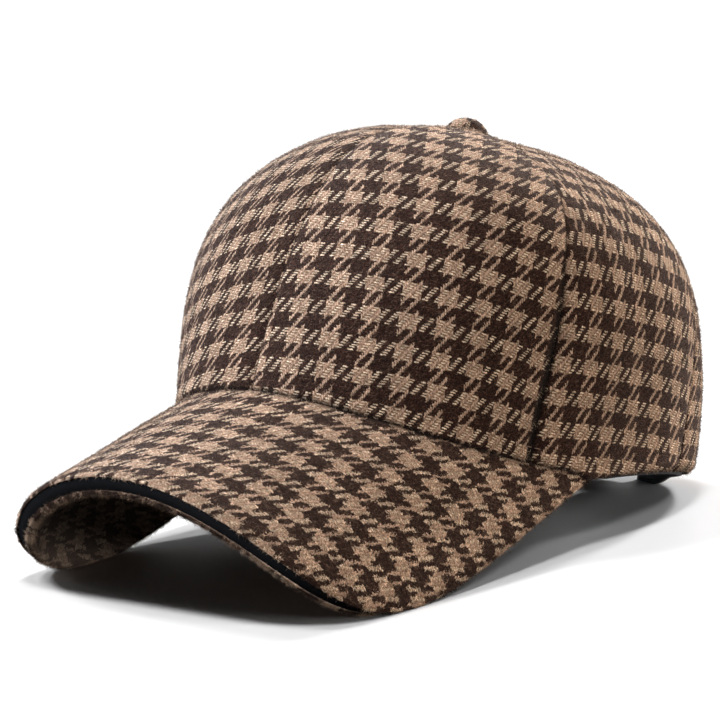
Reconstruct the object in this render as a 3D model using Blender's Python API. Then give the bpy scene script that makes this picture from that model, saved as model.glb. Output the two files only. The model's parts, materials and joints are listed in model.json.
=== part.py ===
"""Six-panel baseball cap with a strongly curved peak. Metres, +Z up, the peak points along -Y, the wearer's left is +X.

Every shape is worked out in millimetres in the cap's own upright frame, then the cap is tipped nose-up so that it
rests on the two lobes of its peak and on the rear of its sweatband.
"""

import math

import bpy
import numpy as np

for old in list(bpy.data.objects):
    bpy.data.objects.remove(old, do_unlink=True)

# Head opening: an oval of two half lengths and one half width, and its squareness
FRONT, REAR, HALF_WIDTH, OVAL_POWER = 94.2, 100.5, 82.5, 2.26
# Crown: height over the hem plane and backward shift of its top
HEIGHT, TOP_SHIFT = 123.0, 3.6
# Crown profile (front, side, rear): how square it is across, how square it is upwards, how much it swells
ACROSS = (3.69, 1.77, 1.60)
UPWARD = (1.73, 3.49, 1.91)
SWELL = (-0.04, 0.22, -0.08)
# Seams between the panels, degrees round from the front, and how far the side one drifts back on its way up
SEAMS = (0.0, 65.0, 122.0, 180.0)
DRIFT = 11.1
SEAM_BOW = 1.5  # degrees the side seams stand further back over their lower half
# Cloth walls and the gaps between pieces
WALL, GAP = 2.0, 0.3
PILLOW, GROOVE, GROOVE_WIDTH = 0.9, 0.8, 2.5
TOP_HOLE = 5.0
# Peak: bent cloth over a board. Its top surface is a strip curved across and tilted down forwards
BEND_RADIUS, BEND_RISE, PEAK_TILT = 94.1, 0.266, 28.1
PEAK_START, PEAK_LENGTH, PEAK_SQUARE, PEAK_FLARE, PEAK_OPENING = 23.6, 67.4, 4.12, 2.3, 0.11
CORNER = 84.0
SKIN, TAPE_HEIGHT, TAPE_DEPTH, LIP = 2.55, 2.6, 1.8, 1.1
# Hem behind the peak's corners: height at the side and at the rear
HEM_SIDE, HEM_REAR = 5.9, 1.5
# Rear arch over the strap
ARCH_HALF_WIDTH, ARCH_HEIGHT = 20.5, 42.0
# Sweatband
BAND_TALL, BAND_THICK, BAND_GAP, BAND_SHOWS = 32.0, 1.5, 0.45, 1.0
BAND_DOWN = (153.0, 163.5)
# Rear strap and its slider
STRAP_TALL, STRAP_THICK, STRAP_LIFT, STRAP_END = 18.0, 1.5, 4.0, 155.0
SLIDER_LONG, SLIDER_WALL = 9.0, 1.6
# Button
BUTTON_RADIUS, BUTTON_HEIGHT = 7.8, 5.8
# Pose on the surface: tipped nose-up, lifted, and moved so that the box's middle is at the origin
PITCH, LIFT, CENTRE_Y = 13.8, 19.50, 25.43
HEM_CLEAR = 1.1


def smooth(t):
    t = np.clip(t, 0.0, 1.0)
    return t * t * (3 - 2 * t)


# ---------------------------------------------------------------- the crown's surface


def oval(th):
    s, c = np.sin(th), np.cos(th)
    a = np.where(c > 0, FRONT, REAR)
    return ((np.abs(s) / HALF_WIDTH) ** OVAL_POWER + (np.abs(c) / a) ** OVAL_POWER) ** (-1 / OVAL_POWER)


def mixed(th, values):
    c = np.cos(th)
    return np.where(c > 0, c * c * values[0], c * c * values[2]) + (1 - c * c) * values[1]


def back(z):
    return TOP_SHIFT * z / HEIGHT


# the peak's section: distance along the cloth, across position, drop and slope
ALONG = np.linspace(0.0, 130.0, 1301)
SLOPE = ALONG / BEND_RADIUS * (1 + BEND_RISE * ((ALONG / 90.0) ** 2 - 0.5))
STEP = ALONG[1] - ALONG[0]
ACROSS_AT = np.concatenate([[0], np.cumsum((np.cos(SLOPE[1:]) + np.cos(SLOPE[:-1])) / 2 * STEP)])
DROP_AT = -np.concatenate([[0], np.cumsum((np.sin(SLOPE[1:]) + np.sin(SLOPE[:-1])) / 2 * STEP)])
WIDEST = int(np.argmax(ACROSS_AT)) + 1
TILT_C, TILT_S = math.cos(math.radians(PEAK_TILT)), math.sin(math.radians(PEAK_TILT))
ORIGIN_Y = -FRONT + back(PEAK_START)


def peak_point(x, y, h):
    """A point of the peak from its flat pattern (x across, y forwards), h above its top surface."""
    a = np.abs(x)
    slope = np.interp(a, ALONG, SLOPE)
    px = np.sign(x) * (np.interp(a, ALONG, ACROSS_AT) + h * np.sin(slope))
    up = np.interp(a, ALONG, DROP_AT) * (1 + PEAK_OPENING * y / 100) + h * np.cos(slope)
    return np.stack([px, ORIGIN_Y - y * TILT_C - up * TILT_S, PEAK_START - y * TILT_S + up * TILT_C], -1)


def peak_at(px, py):
    """The flat pattern's point and the height where the peak's top surface passes over (px, py)."""
    a = np.interp(np.abs(px), ACROSS_AT[:WIDEST], ALONG[:WIDEST])
    drop = np.interp(a, ALONG, DROP_AT)
    k = PEAK_OPENING / 100
    y = (ORIGIN_Y - py - TILT_S * drop) / (TILT_C + TILT_S * drop * k)
    up = drop * (1 + k * y)
    return np.sign(px) * a, y, PEAK_START - y * TILT_S + up * TILT_C


def joint(th):
    """Where the crown's oval meets the peak's top: pattern x, pattern y, height."""
    r = oval(th)
    z = np.full(np.shape(th), PEAK_START)
    for _ in range(8):
        x, y, z = peak_at(r * np.sin(th), -r * np.cos(th) + back(z))
    return x, y, z


CORNER_RAD = math.radians(CORNER)


def hem(th):
    a = np.abs(th)
    front = joint(np.minimum(a, CORNER_RAD))[2] + GAP
    low = float(joint(np.array([CORNER_RAD]))[2][0]) + GAP
    t = np.clip((a - CORNER_RAD) / (math.pi - CORNER_RAD), 0, 1)
    rear = low * (1 - t) ** 2 * (1 + 2 * t) + HEM_SIDE * 4 * t * (1 - t) + HEM_REAR * t * t * (3 - 2 * t)
    # the rear hem lies level, just clear of the surface
    tip = math.radians(PITCH)
    floor = (HEM_CLEAR - LIFT - oval(a) * np.cos(a) * math.sin(tip)) / math.cos(tip)
    rear = np.where(a > CORNER_RAD, (rear + floor + np.sqrt((rear - floor) ** 2 + 0.8)) / 2, rear)
    return np.where(a <= CORNER_RAD, front, rear)


TABLE_DEG, TABLE_STEPS = 1.0, 150


def crown_table():
    """Points of the crown's smooth surface on an even grid of angle and share of the way up."""
    n = int(180 / TABLE_DEG)
    th0 = np.radians(np.linspace(0, 180, n + 1))[:, None]
    f = (np.pi / 2) * (1 - np.cos(np.pi * np.linspace(0, 1, 500))) / 2
    f = f[None]
    drift = math.radians(DRIFT) * np.sin(np.pi * np.clip(th0 / math.radians(130), 0, 1))
    th = th0 + drift * f / (np.pi / 2)
    m, k, g = mixed(th, ACROSS), mixed(th, UPWARD), mixed(th, SWELL)
    cos, sin = np.clip(np.cos(f), 0, None), np.sin(f)
    low = hem(th0)
    rho = cos ** (2 / m) * (1 + g * np.sin(2 * f))
    z = low + (HEIGHT - low) * sin ** (2 / k)
    r = oval(th) * rho
    p = np.stack([r * np.sin(th), -r * np.cos(th) + back(z), z], -1)
    out = np.empty((n + 1, TABLE_STEPS + 1, 3))
    long = np.empty(n + 1)
    for i in range(n + 1):
        d = np.concatenate([[0], np.cumsum(np.linalg.norm(np.diff(p[i], axis=0), axis=1))])
        long[i] = d[-1]
        for j in range(3):
            out[i, :, j] = np.interp(np.linspace(0, d[-1], TABLE_STEPS + 1), d, p[i, :, j])
    return out, long


TABLE, LONG = crown_table()


def length_up(th):
    return np.interp(np.degrees(np.abs(th)), np.linspace(0, 180, len(LONG)), LONG)


def crown_point(th, s):
    """The smooth surface at angle th (either side) and share s of the way up."""
    u = np.clip(np.degrees(np.abs(th)) / TABLE_DEG, 0, len(TABLE) - 1.001)
    v = s * TABLE_STEPS
    i, j = np.floor(u).astype(int), np.clip(np.floor(v).astype(int), 0, TABLE_STEPS - 1)
    a, b = (u - i)[..., None], (v - j)[..., None]
    p = (TABLE[i, j] * (1 - a) + TABLE[i + 1, j] * a) * (1 - b) + (TABLE[i, j + 1] * (1 - a) + TABLE[i + 1, j + 1] * a) * b
    p = p.copy()
    p[..., 0] *= np.where(th < 0, -1.0, 1.0)
    return p


def crown_normal(th, s):
    """Outward directions of the smooth surface. The surface mirrors across the front and the rear."""
    a, e = np.abs(th), math.radians(1.5)

    def at(t, q):
        p = crown_point(np.pi - np.abs(np.pi - np.abs(t)), q)
        p[..., 0] *= np.where((t < 0) | (t > np.pi), -1.0, 1.0)
        return p

    n = np.cross(at(a + e, s) - at(a - e, s), at(a, np.clip(s + 0.015, 0, 1)) - at(a, np.clip(s - 0.015, 0, 1)))
    n /= np.linalg.norm(n, axis=-1, keepdims=True) + 1e-12
    n[..., 0] *= np.where(th < 0, -1.0, 1.0)
    return n


# ---------------------------------------------------------------- meshes


def settled(p):
    """From the cap's upright frame to where it lies, in metres."""
    a = math.radians(PITCH)
    c, s = math.cos(a), math.sin(a)
    x, y, z = p[..., 0], p[..., 1], p[..., 2]
    return np.stack([x, y * c + z * s + CENTRE_Y, -y * s + z * c + LIFT], -1) * 0.001


def add(name, points, faces):
    mesh = bpy.data.meshes.new(name)
    mesh.from_pydata([tuple(map(float, p)) for p in points], [], faces)
    mesh.validate()
    mesh.update()
    obj = bpy.data.objects.new(name, mesh)
    bpy.context.scene.collection.objects.link(obj)
    return obj


def slab(name, outer, inner, closed_u=False, lie=True):
    """A closed solid between two grids of points, outer facing out."""
    nu, nv = outer.shape[:2]
    pts = np.concatenate([outer.reshape(-1, 3), inner.reshape(-1, 3)])
    if lie:
        pts = settled(pts)
    base = nu * nv
    faces = []
    last = nu if closed_u else nu - 1
    for i in range(last):
        k = (i + 1) % nu
        for j in range(nv - 1):
            a, b, c, d = i * nv + j, k * nv + j, k * nv + j + 1, i * nv + j + 1
            faces.append((a, b, c, d))
            faces.append((base + a, base + d, base + c, base + b))
        a, b = i * nv, k * nv
        faces.append((a, base + a, base + b, b))
        a, b = i * nv + nv - 1, k * nv + nv - 1
        faces.append((b, base + b, base + a, a))
    if not closed_u:
        for j in range(nv - 1):
            a, b = j, j + 1
            faces.append((b, base + b, base + a, a))
            a, b = (nu - 1) * nv + j, (nu - 1) * nv + j + 1
            faces.append((a, base + a, base + b, b))
    # triangles, so that every face is flat
    tris = []
    for f in faces:
        tris.append((f[0], f[1], f[2]))
        tris.append((f[0], f[2], f[3]))
    vol = 0.0
    for t in tris:
        vol += float(np.dot(pts[t[0]], np.cross(pts[t[1]], pts[t[2]])))
    if vol < 0:
        tris = [(t[0], t[2], t[1]) for t in tris]
    return add(name, pts, tris)


# ---------------------------------------------------------------- crown panels


def bow(s):
    """How far back the side seams stand at share s of the way up, in radians."""
    return math.radians(SEAM_BOW) * (1 - smooth((s - 0.35) / 0.3)) * (0.67 + 0.33 * smooth(s / 0.2))


def panel(name, side, first, second, columns, rows, arch=False):
    """One panel between two seams. side is +1 for the wearer's left."""
    u = np.linspace(0, 1, columns + 1)
    u = 0.5 + 0.5 * np.sign(u - 0.5) * np.abs(2 * u - 1) ** 0.88
    v = np.linspace(0, 1, rows + 1)
    a, b = math.radians(first), math.radians(second)
    top = np.full(columns + 1, 0.0)
    th_top = a + (b - a) * u
    if arch:
        edge = math.pi - math.asin(ARCH_HALF_WIDTH / REAR)
        share = 0.55
        n = int(round(share * columns))
        m = columns - n
        low_th = np.concatenate([np.linspace(a, edge, n + 1), np.zeros(m)])
        low_s = np.zeros(columns + 1)
        beta = np.linspace(0, math.pi / 2, m + 1)[1:]
        low_th[n + 1:] = math.pi - np.arcsin(ARCH_HALF_WIDTH * np.cos(beta) / REAR)
        low_s[n + 1:] = ARCH_HEIGHT * np.sin(beta) / length_up(low_th[n + 1:])
        v = v ** 1.0
    else:
        low_th = th_top.copy()
        low_s = np.zeros(columns + 1)
    top_s = 1 - TOP_HOLE / length_up(th_top)
    th = low_th[:, None] * (1 - v) + th_top[:, None] * v
    s = low_s[:, None] * (1 - v) + top_s[:, None] * v
    share = ((th_top - a) / (b - a))[:, None]
    if second == SEAMS[1]:
        th = th + bow(s) * share
    elif first == SEAMS[1]:
        th = th + bow(s) * (1 - share)
    # half of the gap is taken from each seam edge, at every height
    p = crown_point(th, s)
    for col, step in ((0, 1), (columns, -1)):
        wide = np.linalg.norm(p[col + step] - p[col], axis=-1)
        share = np.minimum(0.5 * (GAP + 0.1) / wide, 0.45)
        th[col] = th[col] * (1 - share) + th[col + step] * share
        s[col] = s[col] * (1 - share) + s[col + step] * share
    p, n = crown_point(th, s), crown_normal(th, s)
    width = np.linalg.norm(crown_point(th[-1], s[-1]) - crown_point(th[0], s[0]), axis=-1)[None] + 1e-6
    across = np.linspace(0, 1, columns + 1)[:, None] * 0 + (th - th[0:1]) / (th[-1:] - th[0:1])
    from_seam = np.minimum(across, 1 - across) * width
    fade = smooth(width / 40.0)
    rise = PILLOW * fade * (1 - (2 * across - 1) ** 4) - GROOVE * np.exp(-((from_seam / GROOVE_WIDTH) ** 2)) * fade
    outer = p + n * rise[..., None]
    inner = p - n * WALL
    # the bottom edge is cut level
    at_hem = low_s == 0
    z = hem(th[:, 0])
    outer[at_hem, 0, 2] = z[at_hem]
    inner[at_hem, 0, 2] = z[at_hem]
    for arr in (outer, inner):
        arr[..., 0] *= side
    return slab(name, outer, inner)


panel("crown_front_left", 1, SEAMS[0], SEAMS[1], 13, 13)
panel("crown_front_right", -1, SEAMS[0], SEAMS[1], 13, 13)
panel("crown_side_left", 1, SEAMS[1], SEAMS[2], 11, 13)
panel("crown_side_right", -1, SEAMS[1], SEAMS[2], 11, 13)
panel("crown_back_left", 1, SEAMS[2], SEAMS[3], 15, 11, arch=True)
panel("crown_back_right", -1, SEAMS[2], SEAMS[3], 15, 11, arch=True)

# ---------------------------------------------------------------- top button


def button():
    """A covered button over the hole where the panels meet, with a plain stem through it."""
    n = 28
    ring = np.linspace(0, 2 * np.pi, n, endpoint=False)
    radii_under = [0.0, 2.6, 2.9, 5.2, 6.6, BUTTON_RADIUS]
    top_y = back(HEIGHT)

    def skin(r):
        """Height of the crown's outside at radius r round its top, read from the surface's own profile."""
        th = np.abs((ring + np.pi) % (2 * np.pi) - np.pi)
        m, k = mixed(th, ACROSS), mixed(th, UPWARD)
        c = (r / oval(th)) ** (m / 2)
        return HEIGHT * np.clip(1 - c * c, 0, 1) ** (1 / k) + 0.25 * (1 - GROOVE)

    under, over = [], []
    for r in radii_under:
        if r < 2.8:
            z = np.full(n, HEIGHT - 2.6)
        else:
            z = skin(r) + GAP + 0.15
        under.append(np.stack([r * np.sin(ring), -r * np.cos(ring) + top_y, z], -1))
    for r in [0.0, 2.6, 4.6, 6.2, 7.3, BUTTON_RADIUS]:
        dome = BUTTON_HEIGHT * (1 - (r / (BUTTON_RADIUS + 0.35)) ** 2.4) ** 0.6
        z = HEIGHT + 0.9 + dome + 0 * ring
        if r == BUTTON_RADIUS:
            z = skin(r) + GAP + 0.15 + 1.3
        over.append(np.stack([r * np.sin(ring), -r * np.cos(ring) + top_y, z], -1))
    pts, faces = [], []
    centre_low = under[0].mean(axis=0)
    centre_high = over[0].mean(axis=0)
    loops = under[1:] + over[:0:-1]
    for loop in loops:
        pts.extend(loop)
    pts = np.array(pts)
    k = len(loops)
    for j in range(k - 1):
        for i in range(n):
            a, b = j * n + i, j * n + (i + 1) % n
            faces += [(a, b, b + n), (a, b + n, a + n)]
    low, high = len(pts), len(pts) + 1
    pts = np.concatenate([pts, [centre_low], [centre_high]])
    for i in range(n):
        faces.append((low, (i + 1) % n, i))
        faces.append((high, (k - 1) * n + i, (k - 1) * n + (i + 1) % n))
    pts = settled(pts)
    vol = sum(float(np.dot(pts[a], np.cross(pts[b], pts[c]))) for a, b, c in faces)
    if vol < 0:
        faces = [(a, c, b) for a, b, c in faces]
    add("top_button", pts, faces)


button()

# ---------------------------------------------------------------- peak

COLUMNS = 50


def outline():
    """The peak's outer edge in the flat pattern, evenly spaced, with its inward directions."""
    cx, cy, _ = joint(np.array([CORNER_RAD]))
    al = np.linspace(0, np.pi, 2001)
    c, s = np.cos(al), np.clip(np.sin(al), 0, None)
    e = 2 / PEAK_SQUARE
    x = cx[0] * np.sign(c) * np.abs(c) ** e + PEAK_FLARE * np.sin(2 * al)
    y = cy[0] + (PEAK_LENGTH - cy[0]) * s ** e
    d = np.concatenate([[0], np.cumsum(np.hypot(np.diff(x), np.diff(y)))])
    t = np.linspace(0, d[-1], COLUMNS + 1)
    px, py = np.interp(t, d, x), np.interp(t, d, y)
    e0 = 0.5
    ax, ay = np.interp(np.clip(t - e0, 0, d[-1]), d, x), np.interp(np.clip(t - e0, 0, d[-1]), d, y)
    bx, by = np.interp(np.clip(t + e0, 0, d[-1]), d, x), np.interp(np.clip(t + e0, 0, d[-1]), d, y)
    tx, ty = bx - ax, by - ay
    long = np.hypot(tx, ty)
    return np.stack([px, py], -1), np.stack([-ty / long, tx / long], -1)


EDGE, INWARD = outline()
ROUND = np.linspace(CORNER_RAD, -CORNER_RAD, COLUMNS + 1)


JOINT = np.stack(joint(ROUND)[:2], -1)
WIDE = np.linalg.norm(EDGE - JOINT, axis=-1)
FULL = smooth((WIDE - 2.0) / 12.0)
THICK_UPPER = 1.5 + (SKIN - 1.5) * FULL
THICK_UNDER = 1.0 + (SKIN - 1.0) * FULL
ROWS = (0.0, 0.2, 0.42, 0.66, 0.86)


def peak_grid(heights_inside, heights_rim, rims, first=0, last=COLUMNS + 1):
    """One skin of the peak: rows from the crown to a rim line, then rows at the given distances from the edge."""
    inside = JOINT
    deepest = np.minimum(rims[0], 0.5 * WIDE)
    start = EDGE + INWARD * deepest[:, None]
    cols = []
    for t in ROWS:
        xy = inside * (1 - t) + start * t
        cols.append(peak_point(xy[:, 0], xy[:, 1], heights_inside))
    for d, h in zip(rims, heights_rim):
        xy = EDGE + INWARD * (deepest * d / rims[0])[:, None]
        cols.append(peak_point(xy[:, 0], xy[:, 1], h))
    return np.stack(cols, 1)[first:last]


def level(values):
    return np.zeros(COLUMNS + 1) + values


RIMS = (TAPE_DEPTH + 0.75, TAPE_DEPTH + GAP, 0.9, 0.0)
lip_under = -(THICK_UPPER + (LIP - THICK_UPPER) * smooth((WIDE - 7.0) / 3.0))
peak_top = peak_grid(level(0.0), (level(0.0), level(-0.02), level(-0.08), level(-0.4)), RIMS)
peak_low = peak_grid(-THICK_UPPER, (-THICK_UPPER, lip_under, lip_under, lip_under), RIMS)
slab("peak_upper", peak_top, peak_low)

FIRST = int(np.argmax(WIDE > 6.0))
LAST = COLUMNS + 1 - FIRST
under_top = -(THICK_UPPER + GAP)
under_low = under_top - THICK_UNDER
under_lip = under_low + THICK_UNDER + (LIP - THICK_UNDER) * smooth((WIDE - 7.0) / 3.0)
rim_top = peak_grid(under_top, (under_top, under_lip, under_lip, under_lip), RIMS, FIRST, LAST)
rim_low = peak_grid(under_low, (under_low, under_low + 0.02, under_low + 0.08, under_low + 0.4), RIMS, FIRST, LAST)
slab("peak_under", rim_top, rim_low)

TAPE_FIRST = int(np.argmax(WIDE > 10.5))
TAPE_LAST = COLUMNS + 1 - TAPE_FIRST


def tape():
    rows_top, rows_low = [], []
    high = level(-(LIP + GAP))
    low = level(-(LIP + GAP + TAPE_HEIGHT))
    for d in (TAPE_DEPTH, 0.9, 0.0):
        xy = EDGE + INWARD * d
        rows_top.append(peak_point(xy[:, 0], xy[:, 1], high))
        rows_low.append(peak_point(xy[:, 0], xy[:, 1], low))
    a, b = np.stack(rows_top, 1)[TAPE_FIRST:TAPE_LAST], np.stack(rows_low, 1)[TAPE_FIRST:TAPE_LAST]
    return slab("peak_edge_tape", a, b)


tape()

# ---------------------------------------------------------------- sweatband


def band_grid(inset, th):
    rows = np.array([0.0, 0.0, 0.3, 0.65, 1.0])
    long = length_up(th)
    s = rows[None] * BAND_TALL / long[:, None]
    t = th[:, None] + 0 * s
    p = crown_point(t, s) - crown_normal(t, s) * inset
    a = np.abs(th)
    free = hem(th) - 0.12 - BAND_SHOWS * smooth((a - CORNER_RAD - math.radians(1)) / math.radians(8))
    # towards the rear arch it hangs down on to the surface
    tip = math.radians(PITCH)
    floor = (-1.2 - LIFT - oval(a) * np.cos(a) * math.sin(tip)) / math.cos(tip)
    down = smooth((np.degrees(a) - BAND_DOWN[0]) / (BAND_DOWN[1] - BAND_DOWN[0]))
    p[:, 0, 2] = free * (1 - down) + floor * down
    return p


def sweatband():
    end = math.pi - math.asin(ARCH_HALF_WIDTH / REAR) - math.radians(0.6)
    th = np.linspace(-end, end, 89)
    outer = band_grid(WALL + BAND_GAP, th)
    inner = band_grid(WALL + BAND_GAP + BAND_THICK, th)
    outer, inner = settled(outer), settled(inner)
    # its lowest stretches, at the two feet of the rear arch, are pressed flat on the surface
    for arr in (outer, inner):
        arr[:, 0, 2] = np.maximum(arr[:, 0, 2], 0.0)
    return slab("sweatband", outer, inner, lie=False)


sweatband()

# ---------------------------------------------------------------- rear strap and slider


def strap_point(deg, inset, up):
    """The strap follows the crown's lower wall from inside, at a height up along the cloth."""
    th = np.radians(np.where(deg > 180, deg - 360, deg))
    s = (up + 0 * th) / length_up(th)
    return crown_point(th, s) - crown_normal(th, s) * (inset + 0 * th)[..., None]


STRAP_INSET = WALL + BAND_GAP + BAND_THICK + GAP


def strap():
    deg = np.linspace(STRAP_END, 360 - STRAP_END, 27)
    grid = []
    for inset in (STRAP_INSET, STRAP_INSET + STRAP_THICK):
        ups = np.linspace(STRAP_LIFT, STRAP_LIFT + STRAP_TALL, 4)
        grid.append(np.stack([strap_point(deg, inset, up) for up in ups], 1))
    slab("back_strap", grid[0], grid[1])


strap()


def slider():
    """A plain rectangular keeper round the strap, off the middle."""
    low, high = STRAP_LIFT - GAP, STRAP_LIFT + STRAP_TALL + GAP
    half = math.degrees(SLIDER_LONG / 2 / REAR)
    th = np.linspace(180 - half, 180 + half, 4)
    loops_out, loops_in = [], []
    w = SLIDER_WALL
    a, b = STRAP_INSET - GAP, STRAP_INSET + STRAP_THICK + GAP
    ups = np.linspace(low, high, 4)
    for inset, up in [(a, u) for u in ups[::-1]] + [(b, u) for u in ups]:
        loops_in.append(strap_point(th, inset, up))
    ups = np.linspace(low - w, high + w, 4)
    for inset, up in [(a - w, u) for u in ups[::-1]] + [(b + w, u) for u in ups]:
        loops_out.append(strap_point(th, inset, up))
    out, inn = np.stack(loops_out, 1), np.stack(loops_in, 1)
    nu = len(th)
    pts = settled(np.concatenate([out.reshape(-1, 3), inn.reshape(-1, 3)]))
    m = out.shape[1]
    base = nu * m
    faces = []
    for i in range(nu - 1):
        for j in range(m):
            k = (j + 1) % m
            p, q, r, s = i * m + j, i * m + k, (i + 1) * m + k, (i + 1) * m + j
            faces += [(p, q, r), (p, r, s), (base + p, base + r, base + q), (base + p, base + s, base + r)]
    for i, turn in ((0, False), (nu - 1, True)):
        for j in range(m):
            k = (j + 1) % m
            p, q = i * m + j, i * m + k
            quad = [(p, base + p, base + q), (p, base + q, q)]
            faces += [(c, b2, a2) for a2, b2, c in quad] if turn else quad
    vol = sum(float(np.dot(pts[x], np.cross(pts[y], pts[z]))) for x, y, z in faces)
    if vol < 0:
        faces = [(x, z, y) for x, y, z in faces]
    add("strap_slider", pts, faces)


slider()
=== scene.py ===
"""Looks of a six-panel baseball cap in a houndstooth wool. Metres, +Z up, the peak points along -Y."""

import json
import math

import bpy
import numpy as np
from mathutils import Matrix

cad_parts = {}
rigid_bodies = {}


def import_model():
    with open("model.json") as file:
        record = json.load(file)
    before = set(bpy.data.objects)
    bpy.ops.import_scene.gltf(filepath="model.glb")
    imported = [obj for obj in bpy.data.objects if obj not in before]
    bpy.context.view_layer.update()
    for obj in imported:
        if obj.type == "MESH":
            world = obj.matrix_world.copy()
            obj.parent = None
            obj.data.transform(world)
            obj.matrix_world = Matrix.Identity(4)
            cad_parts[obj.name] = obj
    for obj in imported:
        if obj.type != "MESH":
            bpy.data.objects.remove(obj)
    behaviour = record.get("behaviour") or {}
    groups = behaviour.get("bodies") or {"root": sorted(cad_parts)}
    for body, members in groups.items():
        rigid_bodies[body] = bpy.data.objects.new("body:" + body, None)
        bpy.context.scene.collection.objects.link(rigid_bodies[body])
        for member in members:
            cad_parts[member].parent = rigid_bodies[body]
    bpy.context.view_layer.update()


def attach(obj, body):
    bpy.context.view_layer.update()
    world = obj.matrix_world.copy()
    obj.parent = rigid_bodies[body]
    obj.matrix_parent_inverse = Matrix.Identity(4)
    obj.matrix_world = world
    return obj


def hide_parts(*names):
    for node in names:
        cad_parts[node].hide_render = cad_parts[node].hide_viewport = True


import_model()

MM = 0.001

# ---- the cap's named sizes, in millimetres

# Head opening: an oval's two half lengths, half width and squareness
FRONT, REAR, HALF_WIDTH, OVAL_POWER = 94.2, 100.5, 82.5, 2.26
# Crown: height, and backward shift of its top
HEIGHT, TOP_SHIFT = 123.0, 3.6
# Its profile at the front, side and rear: how square across and upwards, and how much it swells
ACROSS = (3.69, 1.77, 1.60)
UPWARD = (1.73, 3.49, 1.91)
SWELL = (-0.04, 0.22, -0.08)
# Seams, in degrees round from the front, and how far they drift back upwards and stand back near the hem
SEAMS = (0.0, 65.0, 122.0, 180.0)
DRIFT, SEAM_BOW = 11.1, 1.5
# Walls, gaps between pieces, how full a panel is, and how far it stops short of the top and its seams
WALL, GAP = 2.0, 0.3
PILLOW, TOP_HOLE, SEAM_SHORT = 0.9, 5.0, 0.05
# Peak: its top is bent across and tilted down forwards
BEND_RADIUS, BEND_RISE, PEAK_TILT = 94.1, 0.266, 28.1
PEAK_START, PEAK_LENGTH, PEAK_SQUARE, PEAK_FLARE, PEAK_OPENING = 23.6, 67.4, 4.12, 2.3, 0.11
CORNER = 84.0
SKIN, TAPE_DEPTH, LIP = 2.55, 1.8, 1.1
# Hem behind the peak's corners: its height, how far the cloth hangs below it, and its least clearance
HEM_SIDE, HEM_REAR, HEM_HANGS, HEM_CLEAR = 5.9, 1.5, 0.15, 1.1
# Rear arch over the strap
ARCH_HALF_WIDTH, ARCH_HEIGHT = 20.5, 42.0
# Sweatband, and the angles over which it comes down to the surface
BAND_TALL, BAND_THICK, BAND_GAP, BAND_SHOWS = 32.0, 1.5, 0.45, 1.0
BAND_DOWN = (153.0, 163.5)
# Rear strap and its slider
STRAP_TALL, STRAP_THICK, STRAP_LIFT, STRAP_END = 18.0, 1.5, 4.0, 155.0
SLIDER_LONG, SLIDER_WALL = 9.0, 1.6
# Button
BUTTON_RADIUS, BUTTON_HEIGHT = 7.8, 5.8
# Pose on the surface: tipped nose-up, lifted, and moved so that the box's middle is at the origin
PITCH, LIFT, CENTRE_Y = 13.8, 19.50, 25.43

# How deep and wide each seam's valley is, how dark the painted shade in it is, and how far that shade
# reaches, in the order of SEAMS
VALLEYS = ((0.55, 1.5, 0.45, 0.5), (2.0, 2.8, 0.96, 3.9), (0.5, 1.8, 0.20, 0.6), (0.6, 1.6, 0.5, 0.5))
# The hem's stitches: how far up the cloth, how long and wide, and the step from one to the next
STITCH_UP, STITCH_LONG, STITCH_WIDE, STITCH_STEP = 5.2, 2.7, 0.45, 3.6

# The check: threads in one repeat across and up, in one repeat of the twill, and how wide each lies
ENDS, PICKS, TWILL = 20, 12, 6
END_MM, PICK_MM = 0.625, 0.875
# How the cloth lies on each piece, across and then up: repeats at the piece's middle, repeats for each
# millimetre across and up, and how those stretch over the piece
LIE = {
    "crown_front_left": (
        (-0.297, 0.0801, 0.0021, 0.00016, -0.00003, 0.00003),
        (0.133, 0.0106, 0.0934, 0.00013, 0.00002, 0.00002),
    ),
    "crown_side_left": (
        (0.509, 0.0662, 0.0109, -0.00014, 0.00029, 0.0001),
        (0.187, 0.0007, 0.0939, 0.00007, 0.00014, 0.00001),
    ),
    "crown_front_right": (
        (1.368, 0.0893, -0.0469, -0.00031, 0.00041, 0.00027),
        (-0.184, -0.0261, 0.1144, 0.00021, -0.00019, -0.00011),
    ),
    "peak_upper": (
        (0.857, 0.0683, -0.0063, 0.00009, 0.00014, -0.00012),
        (0.296, -0.0127, 0.1039, 0.00005, -0.00008, -0.00007),
    ),
    "crown_side_right": ((0.2, 0.080, -0.006, 0, 0, 0), (0.35, 0.004, 0.094, 0, 0, 0)),
    "crown_back_left": ((0.4, 0.079, 0.004, 0, 0, 0), (0.1, 0.002, 0.094, 0, 0, 0)),
    "crown_back_right": ((0.1, 0.080, -0.004, 0, 0, 0), (0.6, -0.003, 0.094, 0, 0, 0)),
    "peak_under": ((0.3, 0.080, 0.0, 0, 0, 0), (0.1, 0.0, 0.096, 0, 0, 0)),
}
# Where those stretches hold: across from, to, up from, to. Beyond it the cloth runs on straight
REACH = {"peak_upper": (-20.0, 92.0, -62.0, 20.0), "crown_front_right": (-20.0, 44.0, 24.0, 116.0)}
REACH_ELSEWHERE = (-42.0, 42.0, 8.0, 112.0)


def smooth(t):
    t = np.clip(t, 0.0, 1.0)
    return t * t * (3 - 2 * t)


def length(v):
    return np.linalg.norm(v, axis=-1)


def unit(v):
    return v / (length(v)[..., None] + 1e-20)


def run(points):
    """The distance along a row of points from its first one."""
    return np.concatenate([[0], np.cumsum(length(np.diff(points, axis=0)))])


# ---- the crown's surface


def oval(th):
    """The head opening's half length at an angle round from the front."""
    s, c = np.sin(th), np.cos(th)
    a = np.where(c > 0, FRONT, REAR)
    return ((np.abs(s) / HALF_WIDTH) ** OVAL_POWER + (np.abs(c) / a) ** OVAL_POWER) ** (-1 / OVAL_POWER)


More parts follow.
